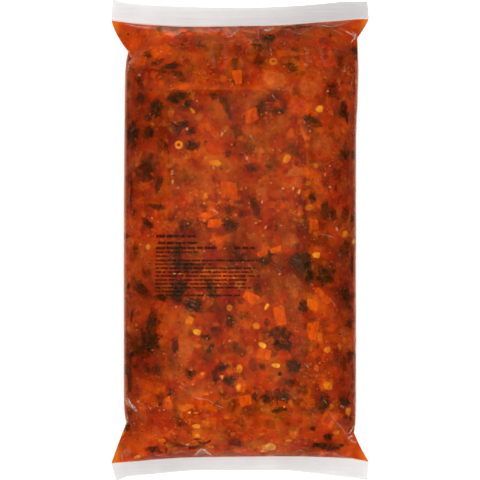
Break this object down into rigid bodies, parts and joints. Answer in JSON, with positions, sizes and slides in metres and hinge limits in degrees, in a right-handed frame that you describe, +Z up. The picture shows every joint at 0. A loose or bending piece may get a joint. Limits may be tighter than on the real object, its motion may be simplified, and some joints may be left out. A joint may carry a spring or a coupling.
{
  "type": "vegetable soup in a sealed bag",
  "caption": "Clear film pillow bag filled with chunky vegetable soup, heat sealed across both ends and lying flat on its back.",
  "frame": {"origin": "on the table, under the middle of the bag's box", "axes": "+Y along the bag towards its top seal, +X across the bag to the right as it is read, +Z up out of the shown face"},
  "size_m": [0.24, 0.445, 0.0492],
  "materials": {
    "soup": "gloss",
    "film": "gloss",
    "carrot": "satin",
    "corn": "satin",
    "onion": "satin",
    "tomato": "satin",
    "greens": "satin",
    "ink": "matte"
  },
  "bodies": {
    "root": {"sealed_bag": "soup"}
  },
  "joints": []
}
